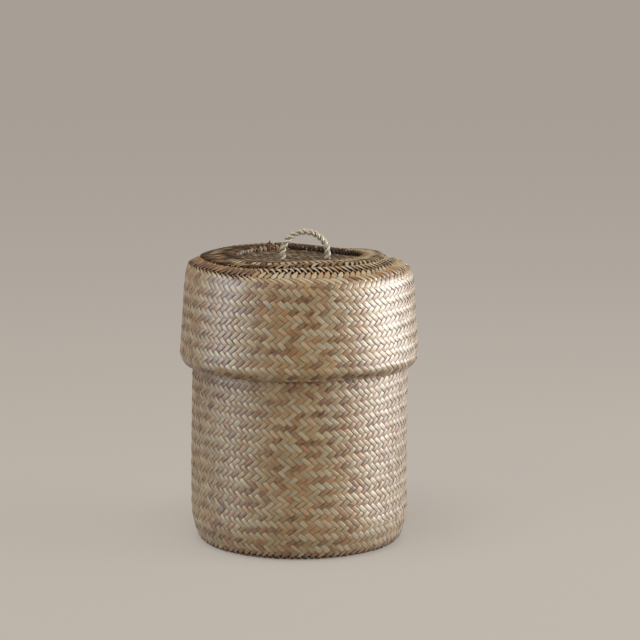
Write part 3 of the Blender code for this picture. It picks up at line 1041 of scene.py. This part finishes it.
KNOT_LIFT = 0.0040
KNOT_SIZE = 0.00135
KNOT_STRAND = 0.00175
KNOT_TWIST = 900.0
TAILS = 9
TAIL_TURN = 2.4
TAIL_RADIUS = 0.00045


def frames(path):
    """Unit tangents and two steady normals along a path."""
    tangent = np.gradient(path, axis=0)
    tangent /= np.linalg.norm(tangent, axis=1)[:, None]
    normal = np.zeros_like(path)
    start = np.array([0.0, 1.0, 0.0]) if abs(tangent[0][1]) < 0.9 else np.array([1.0, 0.0, 0.0])
    for k, direction in enumerate(tangent):
        start = start - direction * start.dot(direction)
        start /= np.linalg.norm(start)
        normal[k] = start
    return tangent, normal, np.cross(tangent, normal)


def strand(path, radius, twist=0.0, lobes=3, grooves=0.10, ring=14):
    """A strand of fibres along a path, with shallow grooves that wind round it.

    radius is one value, or one for each point.
    """
    _, normal, across = frames(path)
    travelled = np.r_[0, np.cumsum(np.linalg.norm(np.diff(path, axis=0), axis=1))]
    angle = np.arange(ring) / ring * 2 * pi
    wound = angle[None, :] + twist * travelled[:, None]
    lobe = 1 - grooves * (0.5 + 0.5 * np.cos(lobes * wound)) ** 3
    size = np.broadcast_to(radius, len(path))[:, None] * lobe
    turned = angle[None, :, None]
    ring_points = normal[:, None] * np.cos(turned) + across[:, None] * np.sin(turned)
    points = path[:, None] + size[:, :, None] * ring_points
    # Painted shade in the grooves between the lobes
    lift = (lobe - lobe.min()) / max(np.ptp(lobe), 1e-9)
    return points[None], travelled[None, :, None], 0.97 * np.sin(1.5 * wound)[None], 0.25 + 0.75 * lift[None]


def arch_line(count):
    """The cord's middle line from the left foot to the right, and the way outward from the arch."""
    half = HANDLE_SPAN / 2
    crown = HANDLE_RISE - LEG_RISE
    turn = np.linspace(pi, 0, 200)
    x = np.r_[-half, -half, half * np.cos(turn), half, half]
    z = np.r_[-FOOT_DEPTH, -FOOT_TOP, LEG_RISE + crown * np.sin(turn), -FOOT_TOP, -FOOT_DEPTH]
    lengths = np.r_[0, np.cumsum(np.hypot(np.diff(x), np.diff(z)))]
    s = np.linspace(0, lengths[-1], count)
    x, z = np.interp(s, lengths, x), np.interp(s, lengths, z)
    line = np.stack([x + pivot.x, 0 * x + pivot.y, z + pivot.z - CORD_SINK], -1)
    tangent = np.gradient(line, axis=0)
    tangent /= np.linalg.norm(tangent, axis=1)[:, None]
    return s, line, np.cross(tangent, [0.0, 1.0, 0.0])


s, line, outward = arch_line(420)
handle = Mesh()
for ply in range(2):
    angle = pi * ply - 2 * pi * s / CORD_LAY
    beside = outward * np.cos(angle)[:, None] + np.array([0.0, 1.0, 0.0]) * np.sin(angle)[:, None]
    path = line + beside * PLY_RADIUS * PLY_SPREAD
    radius = PLY_RADIUS * (PLY_FULLNESS + PLY_UNEVEN * waves_along(s, 3.1 * ply + 1, 0.03))
    twist = -2 * pi / FIBRE_LAY
    points, along, across, lift = strand(path, radius, twist, lobes=5, grooves=0.07, ring=20)
    tone = np.clip(CORD_TONE + CORD_TONES * waves_along(s, 5.0 * ply + 2, 0.02), 0, 1)[None, :, None]
    from_middle = np.linalg.norm(points - line[None, :, None], axis=-1) / PLY_RADIUS
    # Painted shade in the crease between the plies, and in the grooves of each
    lift = 0.8 * smoothstep(from_middle, *CREASE) * (0.7 + 0.3 * lift)
    handle.add(points, along + 3.7 * ply, across, lift, tone)
made = handle.build("handle_cord", pale_cord)
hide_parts("handle_ply_a", "handle_ply_b")
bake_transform(made)

# A trefoil knot under the panel at each foot, with the frayed ends of its fibres hanging down
for side, name in ((-1, "left"), (1, "right")):
    knot = Mesh()
    t = np.linspace(0, 2 * pi, 130)
    centre = np.array([pivot.x + side * HANDLE_SPAN / 2, pivot.y, low(f"handle_root_{name}")[2] + KNOT_LIFT])
    loop = np.stack([np.sin(t) + 2 * np.sin(2 * t), np.cos(t) - 2 * np.cos(2 * t), -2.1 * np.sin(3 * t)], -1)
    path = centre + KNOT_SIZE * loop
    points, along, across, lift = strand(path, KNOT_STRAND, twist=KNOT_TWIST, lobes=4, grooves=0.12)
    knot.add(points, along, across, lift, 0.45)
    for k in range(TAILS):
        lean = np.array([cos(TAIL_TURN * k), sin(TAIL_TURN * k), 0.0])
        reach = np.linspace(0, 1, 12)[:, None]
        down = np.array([0.0, 0.0, -1.0]) * (0.001 + 0.0085 * reach)
        tail = centre + lean * (0.0012 + 0.0040 * reach**1.6) + down
        points, along, across, lift = strand(tail, TAIL_RADIUS * (1 - 0.7 * reach[:, 0]), ring=6, grooves=0.0)
        knot.add(points, along + k, across, 0.9, 0.35 + 0.05 * (k % 4))
    made = knot.build(f"handle_knot_{name}", pale_cord)
    place(made, "lid", "pale_cord", f"handle_root_{name}")


# Loose ends of strips

SLIVER_THICKNESS = 0.00028
SLIVER_TAPER = 0.85


def sliver(name, points, width, tone, look, body, slot, warp=None):
    """A thin loose end that tapers to a point."""
    points = np.array(points, float)
    lengths = np.r_[0, np.cumsum(np.linalg.norm(np.diff(points, axis=0), axis=1))]
    s = np.linspace(0, lengths[-1], 14)
    path = np.stack([np.interp(s, lengths, points[:, k]) for k in range(3)], -1)
    _, normal, across = frames(path)
    taper = (1 - (s / s[-1]) ** 2 * SLIVER_TAPER)[:, None, None]
    flat = across[:, None] * (ACROSS * width / 2)[None, :, None] * taper
    thick = normal[:, None] * (SECTION * SLIVER_THICKNESS)[None, :, None] * taper
    strip = Mesh().add((path[:, None] + flat + thick)[None], s[None, :, None], ACROSS, 0.9, tone)
    place(strip.build(name, look, warp), body, slot)


sliver(
    "loose_end_pale",
    [(-0.032, 0.071, 0.3262), (-0.030, 0.072, 0.3292), (-0.0265, 0.073, 0.3318), (-0.0238, 0.0735, 0.333)],
    width=0.0016,
    tone=0.9,
    look=pale_cord,
    body="lid",
    slot="pale_cord",
)
sliver(
    "loose_end_dark",
    [(-0.0365, 0.0720, 0.3255), (-0.0350, 0.0730, 0.3290), (-0.0345, 0.0740, 0.3318)],
    width=0.0034,
    tone=0.12,
    look=brown,
    body="lid",
    slot="brown_strips",
)
sliver(
    "loose_end_wall",
    [(0.0556, -0.1108, 0.0648), (0.06, -0.11, 0.0632), (0.064, -0.1086, 0.0612), (0.0668, -0.1071, 0.0596)],
    width=0.0015,
    tone=1.0,
    look=straw,
    body="basket",
    slot="straw_strips",
    warp=warp_body,
)


# Light, ground and camera

GROUND_COLOUR = (0.38, 0.36, 0.335)
GROUND_GLOW = 0.74
GROUND_REACH = 40
LAMP_TARGET = (0.0, 0.0, 0.17)
AMBIENT_COLOUR = (1.0, 0.80, 0.58)
AMBIENT_STRENGTH = 0.24
AMBIENT_SEEN = 0.38


def lamp(name, colour, watts, size, location, only_gloss=False):
    """A soft rectangular lamp that faces the object. With only_gloss it gives a sheen and no other light."""
    light = bpy.data.lights.new(name, "AREA")
    light.color = colour
    light.energy = watts
    light.shape = "RECTANGLE"
    light.size, light.size_y = size
    made = bpy.data.objects.new(name, light)
    made.location = location
    made.rotation_euler = (Vector(LAMP_TARGET) - Vector(location)).to_track_quat("-Z", "Y").to_euler()
    made.visible_diffuse = not only_gloss
    bpy.context.scene.collection.objects.link(made)


def seen_directly(tree):
    """1 for what the camera sees, also in gloss and through glass, and 0 for what only lights the object."""
    path = tree.nodes.new("ShaderNodeLightPath")
    total = path.outputs["Is Camera Ray"]
    for name in ("Is Glossy Ray", "Is Transmission Ray"):
        added = tree.nodes.new("ShaderNodeMath")
        added.operation = "ADD"
        added.use_clamp = True
        tree.links.new(total, added.inputs[0])
        tree.links.new(path.outputs[name], added.inputs[1])
        total = added.outputs[0]
    return total


def ground_material():
    """Plain and pale, and paler still to the camera, so that little light comes back from it."""
    shader = Shader("pale_floor")
    shader.set("Base Color", (*GROUND_COLOUR, 1.0))
    shader.set("Roughness", 0.9)
    shader.set("Specular IOR Level", 0.1)
    shader.set("Emission Color", (*GROUND_COLOUR, 1.0))
    shader.link(shader.math("MULTIPLY", seen_directly(shader.tree), GROUND_GLOW), "Emission Strength")
    return shader.material


mesh = bpy.data.meshes.new("floor")
ground_corners = [(x * GROUND_REACH, y * GROUND_REACH, 0) for x, y in ((-1, -1), (1, -1), (1, 1), (-1, 1))]
mesh.from_pydata(ground_corners, [], [(0, 1, 2, 3)])
mesh.materials.append(ground_material())
floor = bpy.data.objects.new("floor", mesh)
bpy.context.scene.collection.objects.link(floor)

lamp("window_right", (1.0, 0.98, 0.96), 15.0, (1.5, 1.0), (2.26, -0.38, 0.62))
lamp("sheen_right", (1.0, 0.98, 0.97), 122.0, (2.4, 1.6), (2.3, 0.10, 0.52), only_gloss=True)
lamp("fill_left", (1.0, 0.87, 0.67), 5.0, (0.9, 0.9), (-1.4, -1.8, 2.0))
lamp("soft_above", (1.0, 0.95, 0.88), 20.0, (1.6, 1.6), (-0.3, -0.5, 2.6))
lamp("strip_left", (0.80, 0.90, 1.0), 25.0, (0.55, 1.3), (-1.75, -0.55, 0.60), only_gloss=True)

world = bpy.data.worlds.new("soft_light")
world.use_nodes = True
tree = world.node_tree
background = tree.nodes["Background"]
background.inputs["Color"].default_value = (*AMBIENT_COLOUR, 1.0)
seen = tree.nodes.new("ShaderNodeMapRange")
seen.inputs["To Min"].default_value = AMBIENT_STRENGTH
seen.inputs["To Max"].default_value = AMBIENT_SEEN
tree.links.new(seen_directly(tree), seen.inputs["Value"])
tree.links.new(seen.outputs[0], background.inputs["Strength"])
bpy.context.scene.world = world

camera_data = bpy.data.cameras.new("camera")
camera_data.sensor_width = 36.0
camera_data.lens = 151.9
camera_data.clip_end = 50.0
camera = bpy.data.objects.new("camera", camera_data)
camera.location = (0.0235, -3.02, 0.781)
camera.rotation_euler = (radians(80.05), 0.0, 0.0)
bpy.context.scene.collection.objects.link(camera)
bpy.context.scene.camera = camera
bpy.context.scene.view_settings.view_transform = "Standard"
